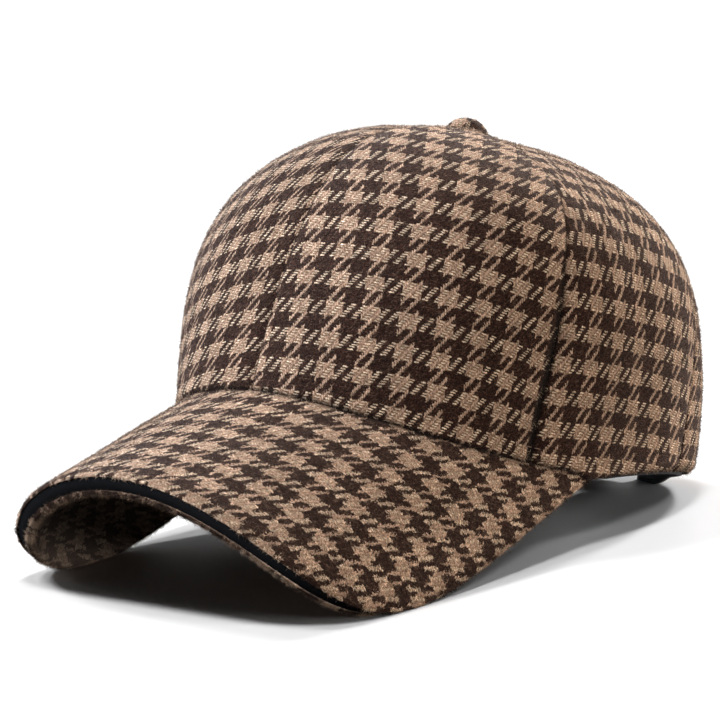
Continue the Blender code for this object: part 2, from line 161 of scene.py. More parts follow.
def mixed(th, values):
    """A value between those given for the front, the side and the rear."""
    c = np.cos(th)
    return np.where(c > 0, c * c * values[0], c * c * values[2]) + (1 - c * c) * values[1]


def back(z):
    """How far back the crown's level line at height z is shifted."""
    return TOP_SHIFT * z / HEIGHT


# the peak's section: distance along the cloth, across position, drop and slope
ALONG = np.linspace(0.0, 130.0, 1301)
SLOPE = ALONG / BEND_RADIUS * (1 + BEND_RISE * ((ALONG / 90.0) ** 2 - 0.5))
STEP = ALONG[1] - ALONG[0]
ACROSS_AT = np.concatenate([[0], np.cumsum((np.cos(SLOPE[1:]) + np.cos(SLOPE[:-1])) / 2 * STEP)])
DROP_AT = -np.concatenate([[0], np.cumsum((np.sin(SLOPE[1:]) + np.sin(SLOPE[:-1])) / 2 * STEP)])
WIDEST = int(np.argmax(ACROSS_AT)) + 1
TILT_C, TILT_S = math.cos(math.radians(PEAK_TILT)), math.sin(math.radians(PEAK_TILT))
ORIGIN_Y = -FRONT + back(PEAK_START)


def peak_point(x, y, h):
    """A point of the peak from its flat pattern (x across, y forwards), h above its top surface."""
    a = np.abs(x)
    slope = np.interp(a, ALONG, SLOPE)
    px = np.sign(x) * (np.interp(a, ALONG, ACROSS_AT) + h * np.sin(slope))
    up = np.interp(a, ALONG, DROP_AT) * (1 + PEAK_OPENING * y / 100) + h * np.cos(slope)
    return np.stack([px, ORIGIN_Y - y * TILT_C - up * TILT_S, PEAK_START - y * TILT_S + up * TILT_C], -1)


def peak_at(px, py):
    """The flat pattern's point and the height where the peak's top surface passes over (px, py)."""
    a = np.interp(np.abs(px), ACROSS_AT[:WIDEST], ALONG[:WIDEST])
    drop = np.interp(a, ALONG, DROP_AT)
    k = PEAK_OPENING / 100
    y = (ORIGIN_Y - py - TILT_S * drop) / (TILT_C + TILT_S * drop * k)
    up = drop * (1 + k * y)
    return np.sign(px) * a, y, PEAK_START - y * TILT_S + up * TILT_C


def joint(th):
    """Where the crown's oval meets the peak's top: pattern x, pattern y, height."""
    r = oval(th)
    z = np.full(np.shape(th), PEAK_START)
    for _ in range(8):
        x, y, z = peak_at(r * np.sin(th), -r * np.cos(th) + back(z))
    return x, y, z


CORNER_RAD = math.radians(CORNER)
ARCH_EDGE = math.pi - math.asin(ARCH_HALF_WIDTH / REAR)


def upright_height(a, above):
    """The height before tipping, at angle a of the oval, of what then lies that far above the surface."""
    tip = math.radians(PITCH)
    return (above - LIFT - oval(a) * np.cos(a) * math.sin(tip)) / math.cos(tip)


def hem(th):
    """The height of the crown's lower edge: along the peak's top, then down and round to the rear."""
    a = np.abs(th)
    front = joint(np.minimum(a, CORNER_RAD))[2] + GAP
    low = float(joint(np.array([CORNER_RAD]))[2][0]) + GAP
    t = np.clip((a - CORNER_RAD) / (math.pi - CORNER_RAD), 0, 1)
    rear = low * (1 - t) ** 2 * (1 + 2 * t) + HEM_SIDE * 4 * t * (1 - t) + HEM_REAR * t * t * (3 - 2 * t)
    # the rear hem lies level, just clear of the surface
    floor = upright_height(a, HEM_CLEAR)
    rear = np.where(a > CORNER_RAD, (rear + floor + np.sqrt((rear - floor) ** 2 + 0.8)) / 2, rear)
    return np.where(a <= CORNER_RAD, front, rear)


TABLE_DEG, TABLE_STEPS = 1.0, 150


def crown_table():
    """Points of the crown's smooth surface on an even grid of angle and share of the way up."""
    n = int(180 / TABLE_DEG)
    th0 = np.radians(np.linspace(0, 180, n + 1))[:, None]
    f = (np.pi / 2) * (1 - np.cos(np.pi * np.linspace(0, 1, 500)))[None] / 2
    drift = math.radians(DRIFT) * np.sin(np.pi * np.clip(th0 / math.radians(130), 0, 1))
    th = th0 + drift * f / (np.pi / 2)
    m, k, g = mixed(th, ACROSS), mixed(th, UPWARD), mixed(th, SWELL)
    cos, sin = np.clip(np.cos(f), 0, None), np.sin(f)
    low = hem(th0)
    rho = cos ** (2 / m) * (1 + g * np.sin(2 * f))
    z = low + (HEIGHT - low) * sin ** (2 / k)
    r = oval(th) * rho
    p = np.stack([r * np.sin(th), -r * np.cos(th) + back(z), z], -1)
    out = np.empty((n + 1, TABLE_STEPS + 1, 3))
    long = np.empty(n + 1)
    for i in range(n + 1):
        d = run(p[i])
        long[i] = d[-1]
        for j in range(3):
            out[i, :, j] = np.interp(np.linspace(0, d[-1], TABLE_STEPS + 1), d, p[i, :, j])
    return out, long


TABLE, LONG = crown_table()


def length_up(th):
    """The way up from hem to top at angle th, in millimetres."""
    return np.interp(np.degrees(np.abs(th)), np.linspace(0, 180, len(LONG)), LONG)


def between(grid, i, j, u, v):
    """A grid's value among four of its points, at shares u and v of the way past point i, j."""
    near = grid[i, j] * (1 - u) + grid[i + 1, j] * u
    far = grid[i, j + 1] * (1 - u) + grid[i + 1, j + 1] * u
    return near * (1 - v) + far * v


def crown_point(th, s):
    """The smooth surface at angle th (either side) and share s of the way up."""
    u = np.clip(np.degrees(np.abs(th)) / TABLE_DEG, 0, len(TABLE) - 1.001)
    v = s * TABLE_STEPS
    i, j = np.floor(u).astype(int), np.clip(np.floor(v).astype(int), 0, TABLE_STEPS - 1)
    p = between(TABLE, i, j, (u - i)[..., None], (v - j)[..., None])
    p[..., 0] *= np.where(th < 0, -1.0, 1.0)
    return p


def crown_normal(th, s):
    """Outward directions of the smooth surface. The surface mirrors across the front and the rear."""
    a, e = np.abs(th), math.radians(1.5)

    def at(t, q):
        p = crown_point(np.pi - np.abs(np.pi - np.abs(t)), q)
        p[..., 0] *= np.where((t < 0) | (t > np.pi), -1.0, 1.0)
        return p

    up = at(a, np.clip(s + 0.015, 0, 1)) - at(a, np.clip(s - 0.015, 0, 1))
    n = unit(np.cross(at(a + e, s) - at(a - e, s), up))
    n[..., 0] *= np.where(th < 0, -1.0, 1.0)
    return n


def settled(p):
    """From the cap's upright frame to where it lies, in metres."""
    a = math.radians(PITCH)
    c, s = math.cos(a), math.sin(a)
    x, y, z = p[..., 0], p[..., 1], p[..., 2]
    return np.stack([x, y * c + z * s + CENTRE_Y, -y * s + z * c + LIFT], -1) * MM


def ripple(p, seed, wave, waves=14):
    """A gentle irregular wave through space, about -1 to 1, its crests wave millimetres apart."""
    rng = np.random.default_rng(seed)
    k = rng.normal(size=(waves, 3))
    k *= (2 * np.pi / wave / length(k) * rng.uniform(0.6, 1.5, waves))[:, None]
    ph = rng.uniform(0, 2 * np.pi, waves)
    return np.sin(p @ k.T + ph).sum(-1) / math.sqrt(waves) * 0.7


# ---- materials


def operator(op, swapped=False):
    """What Python does for a sum of two values: it adds a node to their tree."""
    def act(self, other):
        return self.graph.math(op, *((other, self) if swapped else (self, other)))
    return act


class Value:
    """A number or colour in a node tree. It takes + - * / % and < as any number does."""

    def __init__(self, graph, socket):
        self.graph, self.socket = graph, socket

    __add__, __radd__ = operator("ADD"), operator("ADD", swapped=True)
    __sub__, __rsub__ = operator("SUBTRACT"), operator("SUBTRACT", swapped=True)
    __mul__, __truediv__ = operator("MULTIPLY"), operator("DIVIDE")
    __mod__, __lt__ = operator("FLOORED_MODULO"), operator("LESS_THAN")


class Graph:
    """Short names for building a node tree."""

    def __init__(self, tree):
        self.tree = tree

    def put(self, socket, value):
        if isinstance(value, Value):
            self.tree.links.new(value.socket, socket)
        elif isinstance(value, tuple) and socket.type == "RGBA":
            socket.default_value = (*value, 1)
        else:
            socket.default_value = value

    def node(self, kind, inputs, **settings):
        n = self.tree.nodes.new(kind)
        for key, value in settings.items():
            setattr(n, key, value)
        for key, value in inputs.items():
            self.put(n.inputs[key], value)
        return n

    def value(self, kind, inputs, output=0, **settings):
        """One output of a new node."""
        return Value(self, self.node(kind, inputs, **settings).outputs[output])

    def math(self, op, *values):
        return self.value("ShaderNodeMath", dict(enumerate(values)), operation=op)

    def mix(self, share, a, b):
        """Colours a and b mixed."""
        return self.value("ShaderNodeMix", {0: share, 6: a, 7: b}, 2, data_type="RGBA")

    def mix_number(self, share, a, b):
        return self.value("ShaderNodeMix", {0: share, 2: a, 3: b}, data_type="FLOAT")

    def tint(self, colour, amount):
        """A colour made lighter or darker by a number."""
        return self.value("ShaderNodeVectorMath", {0: colour, "Scale": amount}, operation="SCALE")

    def range(self, value, a, b, c=0.0, d=1.0, kind="LINEAR"):
        """What lies from a to b carried over to c to d."""
        return self.value("ShaderNodeMapRange", dict(enumerate((value, a, b, c, d))), interpolation_type=kind)

    def vector(self, x, y, z=0.0):
        return self.value("ShaderNodeCombineXYZ", {0: x, 1: y, 2: z})

    def split(self, vector):
        return [Value(self, out) for out in self.node("ShaderNodeSeparateXYZ", {0: vector}).outputs]

    def noise(self, vector, scale, detail=2.0, rough=0.5, output="Fac"):
        inputs = {"Vector": vector, "Scale": scale, "Detail": detail, "Roughness": rough}
        return self.value("ShaderNodeTexNoise", inputs, output)

    def random(self, value, seed):
        """A number from 0 to 1 for each whole value."""
        at = self.vector(value, seed)
        return self.value("ShaderNodeTexWhiteNoise", {"Vector": at}, "Value", noise_dimensions="2D")

    def place(self):
        return self.value("ShaderNodeTexCoord", {}, "Object")

    def relief(self, shader, height, strength, distance):
        inputs = {"Strength": strength, "Distance": distance, "Height": height}
        self.put(shader.inputs["Normal"], self.value("ShaderNodeBump", inputs))


def surface(name, rough, sheen=0.0, sheen_rough=0.5, tint=(1, 1, 1), gloss=0.5):
    """A new material with its graph and its shader, whose constant values sit on the shader itself."""
    m = bpy.data.materials.new(name)
    m.use_nodes = True
    shader = next(n for n in m.node_tree.nodes if n.type == "BSDF_PRINCIPLED")
    names = ("Roughness", "Sheen Weight", "Sheen Roughness", "Sheen Tint", "Specular IOR Level")
    for key, value in zip(names, (rough, sheen, sheen_rough, (*tint, 1), gloss)):
        shader.inputs[key].default_value = value
    return m, Graph(m.node_tree), shader


# each light yarn's colour, then its colour under the painted highlight along a float's top
LIGHT_END, LIGHT_END_HIGHLIGHT = (0.490, 0.330, 0.234), (0.820, 0.635, 0.490)
LIGHT_PICK, LIGHT_PICK_HIGHLIGHT = (0.540, 0.397, 0.276), (0.980, 0.815, 0.630)
LIGHT_SUNK, RUSTY = (0.490, 0.295, 0.190), (0.330, 0.175, 0.110)
DARK_YARN, DARK_TIP = (0.0080, 0.0034, 0.0025), (0.080, 0.032, 0.022)
# the last is the colour that a dull fuzz and painted shade draw the underside towards
PALE_HAIR, DARK_HAIR, FUZZ_AND_SHADE = (0.34, 0.225, 0.160), (0.050, 0.021, 0.014), (0.105, 0.076, 0.058)


def houndstooth(name, brushed, fuzz_and_shade=0.0):
    """Light and dark yarns in a twill, ten of one and ten of the other across, six and six up.

    brushed is how much of a nap hides the weave, and the last argument how far a dull fuzz and painted shade
    even out and darken the two colours.
    """
    m, g, shader = surface(name, 0.92, sheen=0.07, sheen_rough=0.40, tint=(1.0, 0.78, 0.68), gloss=0.08)
    place = g.place()
    u, v, _ = g.split(g.value("ShaderNodeUVMap", {}, uv_map="weave"))
    # yarns wander a little, and the nap drags their edges: the waves' scale, then how far across and up
    wander = (
        (90.0, 0.06, 0.05),
        (600.0, (0.5 + 3.6 * brushed) / ENDS, (0.3 + 2.6 * brushed) / PICKS),
        (1500.0, (0.9 + 4.0 * brushed) / ENDS, (0.3 + 3.0 * brushed) / PICKS),
    )
    for scale, across, up in wander:
        x, y, _ = g.split(g.noise(place, scale, 1.0, output="Color"))
        u, v = u + (x - 0.5) * across, v + (y - 0.5) * up
    end, pick = u * ENDS, v * PICKS
    end_no, pick_no = g.math("FLOOR", end), g.math("FLOOR", pick)
    half = TWILL / 2
    warp = (end_no - pick_no) % TWILL < half
    light_end = (end_no + ENDS / 4) % ENDS < ENDS / 2
    light_pick = (pick_no + PICKS / 4) % PICKS < PICKS / 2

    def choose(for_warp, for_weft):
        return g.mix_number(warp, for_weft, for_warp)

    def hump(t):
        """0 at a float's two edges and 1 along its middle."""
        c = t * 2.0 - 1.0
        return 1.0 - c * c

    def soft_step(value, a, b, least):
        return g.range(value, a, b, least, 1.0, "SMOOTHSTEP")

    def hairs(angle, long, wide, seed):
        """Streaks that many millimetres long and wide, at an angle to the picks."""
        c, s = math.cos(math.radians(angle)), math.sin(math.radians(angle))
        x, y = end * END_MM, pick * PICK_MM
        along, over = x * (c / long) + y * (s / long), x * (-s / wide) + y * (c / wide)
        return g.noise(g.vector(along, over, seed), 1.0, 2.0, 0.6)

    over_end, over_pick = hump(g.math("FRACT", end)), hump(g.math("FRACT", pick))
    run_end = hump((pick - end_no + (half - 1)) % TWILL / half)
    run_pick = hump((end - pick_no) % TWILL / half - 1.0)
    # how far the yarn on top hides the one below it: soft thick ends, thin crisp picks
    top, below = choose(light_end, light_pick), choose(light_pick, light_end)
    ragged = (g.noise(place, 1500.0, 2.0, 0.6) - 0.5) * 2.0
    cover_end = soft_step(over_end + ragged, 0.05 - 0.3 * brushed, 0.60 - 0.4 * brushed, 0.15 + 0.3 * brushed)
    cover_end = cover_end * soft_step(run_end + ragged, 0.30, 0.75, 0.0)
    low = 0.50 - 0.60 * brushed
    cover_pick = soft_step(over_pick + ragged * 0.5, low, low + 0.42, 0.15 * brushed)
    cover_pick = cover_pick * g.range(run_pick, 0.0, 0.40, 0.2)
    # the fuller dark yarn isn't hidden at its edges by a light one below
    cover = g.math("MAXIMUM", choose(cover_end, cover_pick), 1.0 - top)
    height = choose(over_end, over_pick) * 0.6 + choose(run_end, run_pick) * 0.4
    # each yarn and each float has its own shade, and fibres streak along it
    own = choose(g.random(end_no, 1.0), g.random(pick_no, 2.0))
    float_end = g.math("FLOOR", (pick_no - end_no + (half - 1)) / TWILL)
    float_pick = g.math("FLOOR", (end_no - pick_no) / TWILL)
    own_float = choose(g.random(end_no, float_end), g.random(pick_no, float_pick))
    streak_end = g.noise(g.vector(end * 1.7, pick * 0.7), 1.0, 3.0, 0.7)
    streak_pick = g.noise(g.vector(end * 0.6, pick * 2.1, 7.0), 1.0, 3.0, 0.7)
    streak = choose(streak_end, streak_pick)
    speck = g.noise(place, 1700.0, 3.0, 0.75)
    grey = 0.30 + (own * 0.14 + own_float * 0.26) + streak * 0.62 + (g.noise(place, 55.0) - 0.5) * 0.35
    grey = grey * g.range(speck, 0.40, 0.60, 0.62, 1.42)
    hatch = hairs(62.0, 1.5, 0.26, 5.0)
    grey = grey * g.range(hatch, 0.40, 0.60, 0.86 - 0.16 * brushed, 1.14 + 0.16 * brushed)
    # a painted highlight makes a float palest along its top, broken by the fibres' streaks, and rusty fibres
    # run through the light yarn
    tip = g.range(height, 0.35, 0.95, 0.0, 0.9) * g.range(streak, 0.35, 0.65, 0.25)
    pale_end = g.mix(tip * 0.5, LIGHT_END, LIGHT_END_HIGHLIGHT)
    pale_pick = g.mix(tip * (1.0 - 0.5 * brushed), LIGHT_PICK, LIGHT_PICK_HIGHLIGHT)
    rust = g.range(g.noise(place, 800.0, 2.0, 0.6), 0.42, 0.62, 0.0, 0.45)
    pale = g.mix(rust, g.mix(warp, pale_pick, pale_end), RUSTY)
    dusty = g.range(speck, 0.40, 0.70, 0.15) * g.range(streak, 0.40, 0.64, 0.1)
    upper = g.mix(top, g.mix(dusty, DARK_YARN, DARK_TIP), pale)
    # the yarn below, seen between the floats, is darkened with painted shade
    lower = g.mix(below, g.tint(DARK_YARN, 0.7), g.tint(LIGHT_SUNK, 0.42 + 0.35 * brushed))
    raised = g.tint(upper, g.mix_number(top, 1.0, 1.0 + 0.50 * brushed))
    colour = g.tint(g.mix(cover, lower, raised), grey)
    # loose fibres of the other yarn lie over each, in two directions
    hair_a, hair_b = hairs(48.0, 2.4, 0.42, 3.0), hairs(12.0, 2.2, 0.45, 9.0)
    pale_over = g.math("MAXIMUM", g.range(hair_a, 0.56, 0.70), g.range(hair_b, 0.58, 0.72))
    dark_over = g.math("MAXIMUM", g.range(hair_a, 0.44, 0.30), g.range(hair_b, 0.42, 0.28))
    colour = g.mix(pale_over * (0.24 + 0.42 * brushed), colour, PALE_HAIR)
    colour = g.mix(dark_over * (0.24 + 0.40 * brushed), colour, DARK_HAIR)
    # the underside's cloth is drawn towards one dark colour: a dull fuzz in part, painted shade in part
    if fuzz_and_shade:
        colour = g.mix(fuzz_and_shade, colour, FUZZ_AND_SHADE)
    # painted shade, given at each point of the mesh, darkens the cloth in the seams' valleys, along the hem
    # and on the peak under the hem
    fold = g.value("ShaderNodeAttribute", {}, "Fac", attribute_name="fold")
    g.put(shader.inputs["Base Color"], g.tint(colour, 1.0 - fold))
    nap = height * cover * (1.0 - 0.45 * brushed) + speck * (0.6 + 0.9 * brushed)
    nap = nap + (streak * 0.5 + (hair_a + hair_b) * (0.4 + 1.4 * brushed))
    g.relief(shader, nap, 0.9, 0.00035 + 0.0002 * brushed)
    return m


def black_cloth(name, rib, pitch, colour=(0.012, 0.012, 0.013), rough=0.75, sheen=0.15, gloss=0.3):
    """Plain black goods with ribs pitch millimetres apart along the direction rib, and a dust of fibre."""
    m, g, shader = surface(name, rough, sheen=sheen, sheen_rough=0.4, gloss=gloss)
    place = g.place()
    x, y, z = g.split(place)
    wave = g.math("SINE", (x * rib[0] + y * rib[1] + z * rib[2]) * (2 * math.pi / (pitch * 0.001)))
    grain = g.noise(place, 1800.0, 3.0, 0.65)
    tone = 0.35 + (wave * 0.10 + (grain * 0.9 + g.noise(place, 110.0) * 0.5))
    g.put(shader.inputs["Base Color"], g.tint(colour, tone))
    g.relief(shader, wave * 0.5 + grain, 0.5, 0.00015)
    return m


def plastic(name):
    m, g, shader = surface(name, 0.38)
    place = g.place()
    black = g.mix(g.noise(place, 300.0), (0.012, 0.012, 0.013), (0.020, 0.020, 0.021))
    g.put(shader.inputs["Base Color"], black)
    g.put(shader.inputs["Roughness"], g.range(g.noise(place, 900.0), 0.3, 0.7, 0.32, 0.48))
    g.relief(shader, g.noise(place, 2500.0), 0.25, 0.00005)
    return m


def plain(name, colour, rough, gloss):
    m, g, shader = surface(name, rough, gloss=gloss)
    g.put(shader.inputs["Base Color"], colour)
    return m


CROWN_CLOTH = houndstooth("houndstooth_crown", 0.12)
PEAK_CLOTH = houndstooth("houndstooth_peak", 0.6)
# the peak's underside: a duller, darker copy of the check, partly painted shade
UNDER_CLOTH = houndstooth("houndstooth_under", 0.85, fuzz_and_shade=0.62)
TAPE_BLACK = (0.0085, 0.0088, 0.0098)
TAPE = black_cloth("tape_black", (1.0, 0.4, 0.2), 0.55, TAPE_BLACK, rough=0.8, sheen=0.0, gloss=0.0)
BAND = black_cloth("band_black", (0.0, 0.3, 1.0), 0.7)
WEB = black_cloth("webbing_black", (0.2, 0.1, 1.0), 1.2, rough=0.6)
PLASTIC = plastic("plastic_black")
THREAD = plain("thread_brown", (0.150, 0.105, 0.078), 0.9, 0.2)

# ---- meshes


def add(name, data, axes=None, place=(0, 0, 0)):
    """A new object in the scene, at a place and with its own axes along those given."""
    obj = bpy.data.objects.new(name, data)
    bpy.context.scene.collection.objects.link(obj)
    if axes:
        obj.matrix_world = Matrix(np.column_stack([*axes, place]).tolist() + [(0, 0, 0, 1)])
    return obj


def make(name, points, faces, material, uv=None, fold=None):
    """A mesh object from arrays, smooth, with its weave map and the painted shade each point gets in folds,
    seams and joints.
    """
    mesh = bpy.data.meshes.new(name)
    mesh.from_pydata(points.tolist(), [], faces.tolist())
    mesh.polygons.foreach_set("use_smooth", np.ones(len(faces), bool))
    if uv is not None:
        loops = np.empty(len(mesh.loops), np.int32)
        mesh.loops.foreach_get("vertex_index", loops)
        mesh.uv_layers.new(name="weave").data.foreach_set("uv", uv[loops].astype(np.float32).ravel())
    mesh.materials.append(material)
    if fold is not None:
        mesh.attributes.new("fold", "FLOAT", "POINT").data.foreach_set("value", fold.astype(np.float32))
    mesh.update()
    return add(name, mesh)


def outward(points, faces):
    """The faces turned so that the closed mesh's volume is positive."""
    a, b, c = points[faces[:, 0]], points[faces[:, 1]], points[faces[:, 2]]
    vol = np.einsum("ij,ij->i", a, np.cross(b, c)).sum()
    if faces.shape[1] == 4:
        d = points[faces[:, 3]]
        vol += np.einsum("ij,ij->i", a, np.cross(c, d)).sum()
    return faces if vol > 0 else faces[:, ::-1]


def quads(*pairs):
    """Quads between each pair of rows, or of grids, of point numbers."""
    return np.concatenate([
        np.stack([a[..., :-1], b[..., :-1], b[..., 1:], a[..., 1:]], -1).reshape(-1, 4) for a, b in pairs
    ])


def slab_faces(nu, nv):
    """Quads of a closed solid between two grids of nu by nv points."""
    top = np.arange(nu * nv).reshape(nu, nv)
    low = top + nu * nv
    ends = (top[:, 0], low[:, 0]), (low[:, -1], top[:, -1]), (low[0], top[0]), (top[-1], low[-1])
    return quads((top[:-1], top[1:]), (low[1:], low[:-1]), *ends)


def ring_grid(rows, n):
    """The numbers of the points in rows of n, the first one of each row again at its end."""
    grid = np.arange(rows * n).reshape(rows, n)
    return np.concatenate([grid, grid[:, :1]], 1)


def slab(name, outer, inner, material, uv=None, fold=None):
    """A closed cloth between two grids of points. uv is one weave map for both, or a pair of them."""
    points = np.concatenate([outer.reshape(-1, 3), inner.reshape(-1, 3)])
    faces = outward(points, slab_faces(*outer.shape[:2]))
    if uv is not None:
        pair = uv if isinstance(uv, tuple) else (uv, uv)
        uv = np.concatenate([m.reshape(-1, 2) for m in pair])
    if fold is not None:
        fold = np.concatenate([fold.ravel()] * 2)
    return make(name, points, faces, material, uv, fold)


def dress(obj, slot, *nodes):
    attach(obj, "root")
    if nodes:
        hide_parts(*nodes)


def lie(name, a, b):
    """Repeats of the check, across and up, at a millimetres across and b up on a piece."""
    a0, a1, b0, b1 = REACH.get(name, REACH_ELSEWHERE)
    p, q = np.clip(a, a0, a1), np.clip(b, b0, b1)
    out = []
    for c in LIE[name]:
        value = c[0] + c[1] * p + c[2] * q + c[3] * p * p + c[4] * p * q + c[5] * q * q
        per_a, per_b = c[1] + 2 * c[3] * p + c[4] * q, c[2] + c[4] * p + 2 * c[5] * q
        out.append(value + per_a * (a - p) + per_b * (b - q))
    return np.stack(out, -1)


# ---- crown panels

SKINS = []  # outer grids with their names and weave maps, for the nap


def spread(n, ends):
    """n + 1 shares from 0 to 1, closer together towards both ends."""
    t = np.linspace(0, 1, n + 1)
    return (1 - ends) * t + ends * (1 - np.cos(np.pi * t)) / 2


def bow(s):
    """How far back the side seams stand at share s of the way up, in radians."""
    return math.radians(SEAM_BOW) * (1 - smooth((s - 0.25) / 0.17)) * (0.67 + 0.33 * smooth(s / 0.2))


def groove(distance, middle, width):
    """A soft groove's or ridge's depth, 1 along its middle."""
    return np.exp(-(((distance - middle) / width) ** 2))


def panel_grid(first, second, columns, rows, arch):
    """A panel's points, as angles and shares of the way up, and which columns start at the hem."""
    a, b = math.radians(SEAMS[first]), math.radians(SEAMS[second])
    v = spread(rows, 0.35) ** 1.15
    top_th = a + (b - a) * (np.linspace(0, 1, columns + 1) if arch else spread(columns, 0.75))
    low_th, low_s = top_th, np.zeros(columns + 1)
    if arch:
        # the columns nearest the rear start along the arch
        n = round(0.55 * columns)
        beta = np.linspace(0, math.pi / 2, columns - n + 1)[1:]
        at_hem = a + (ARCH_EDGE - a) * np.linspace(0, 1, n + 1)
        low_th = np.concatenate([at_hem, math.pi - np.arcsin(ARCH_HALF_WIDTH * np.cos(beta) / REAR)])
        low_s[n + 1:] = ARCH_HEIGHT * np.sin(beta) / length_up(low_th[n + 1:])
    top_s = 1 - TOP_HOLE / length_up(top_th)
    th = low_th[:, None] * (1 - v) + top_th[:, None] * v
    s = low_s[:, None] * (1 - v) + top_s[:, None] * v
    across = ((top_th - a) / (b - a))[:, None]
    if second == 1:
        th = th + bow(s) * across
    elif first == 1:
        th = th + bow(s) * (1 - across)
    p = crown_point(th, s)
    for col, step in ((0, 1), (columns, -1)):
        share = np.minimum(SEAM_SHORT / length(p[col + step] - p[col]), 0.45)
        th[col] = th[col] * (1 - share) + th[col + step] * share
        s[col] = s[col] * (1 - share) + s[col + step] * share
    return th, s, low_s == 0


def valley(which, other, dist, s, width):
    """How deep a seam's valley is at distance dist from it, and how dark its painted shade is. other is the
    panel's other seam.
    """
    depth, wide, dark, reach = VALLEYS[which]
    if which == 1:
        # the side seams open into a deep fold towards the hem, darkened with painted shade, on the front
        # panel's side above all
        low = 1 - smooth((s - 0.2) / 0.3)
        depth, wide = depth * (0.2 + 0.8 * low), wide * (0.4 + 0.6 * low)
        dark, reach = dark * (0.6 + 0.4 * low), reach * (0.12 + 0.88 * low) * (1.0 if other == 0 else 0.45)
    deep = depth * groove(dist, 0, wide) * smooth(width / 12.0)
    return deep, dark * (1 - smooth((dist / reach - 0.15) / 0.9))


def panel_relief(first, second, th, s, p):
    """How far a panel's cloth stands off the smooth surface, and the painted shade at each point in its
    seams' valleys, along its hem's edge and in its stitched line.
    """
    width = length(crown_point(th[-1], s[-1]) - crown_point(th[0], s[0]))[None] + 1e-6
    across = (th - th[0:1]) / (th[-1:] - th[0:1])
    rise = PILLOW * smooth(width / 40.0) * (1 - (2 * across - 1) ** 4)
    deep_a, fold_shade_a = valley(first, second, across * width, s, width)
    deep_b, fold_shade_b = valley(second, first, (1 - across) * width, s, width)
    rise, fold = rise - deep_a - deep_b, np.maximum(fold_shade_a, fold_shade_b)
    # the turned hem: a stitched line, and a slight roll below it
    off = length(p - p[:, :1])
    rise = rise - 0.25 * groove(off, STITCH_UP, 0.9) + 0.2 * groove(off, 2.4, 1.8) - 0.7 * groove(off, 0, 0.7)
    # painted shade along the hem's lower edge and in the stitched line's groove
    fold = np.maximum(fold, 0.75 * groove(off, 0, 0.9))
    fold = np.maximum(fold, 0.22 * groove(off, STITCH_UP, 0.5))
    # towards the rear the cloth stands fuller above its hem
    stands = smooth((np.degrees(th) - 98.0) / 25.0)
    rise = rise + stands * (1.3 * (1 - smooth(s / 0.30)) - 1.6 * groove(off, 0, 2.4))
    return rise + 0.16 * ripple(p, 5, 26.0) * smooth(off / 12.0) + 0.05 * ripple(p, 6, 7.0), fold


def along_cloth(first, second, th, s):
    """How far each point lies from the panel's middle along its level line, in millimetres."""
    a, b = math.radians(SEAMS[first]), math.radians(SEAMS[second])
    steps, beyond, rows, top = 120, 6, 79, 0.995
    fine_th = (a + (b - a) * np.linspace(0, 1 + beyond / steps, steps + beyond + 1))[:, None]
    fine_s = np.linspace(0, top, rows + 1)[None]
    grid = crown_point(fine_th + 0 * fine_s, fine_s + 0 * fine_th)
    d = np.concatenate([np.zeros((1, rows + 1)), np.cumsum(length(np.diff(grid, axis=0)), 0)])
    d = d - d[steps // 2]
    u = np.clip((th - a) / (b - a) * steps, 0, steps + beyond - 0.001)
    v = np.clip(s / top * rows, 0, rows - 0.001)
    i, j = u.astype(int), v.astype(int)
    return between(d, i, j, u - i, v - j)


def panel(name, side, first, second, columns, rows, arch=False):
    """One panel between two seams. side is 1 for the wearer's left and -1 for the right."""
    th, s, at_hem = panel_grid(first, second, columns, rows, arch)
    p, n = crown_point(th, s), crown_normal(th, s)
    rise, fold = panel_relief(first, second, th, s, p)
    outer, inner = p + n * rise[..., None], p - n * WALL
    uv = lie(name, along_cloth(first, second, th, s) * side, s * length_up(th) + hem(th))
    for skin in (outer, inner):
        skin[at_hem, 0, 2] = hem(th[at_hem, 0]) - HEM_HANGS
        skin[..., 0] *= side
    outer, inner = settled(outer), settled(inner)
    SKINS.append((outer, name, uv))
    dress(slab(name + "_cloth", outer, inner, CROWN_CLOTH, uv, fold), "houndstooth_cloth", name)


panel("crown_front_left", 1, 0, 1, 96, 110)
panel("crown_front_right", -1, 0, 1, 96, 110)
panel("crown_side_left", 1, 1, 2, 90, 110)
panel("crown_side_right", -1, 1, 2, 64, 80)
panel("crown_back_left", 1, 2, 3, 72, 84, arch=True)
panel("crown_back_right", -1, 2, 3, 72, 84, arch=True)

# ---- button


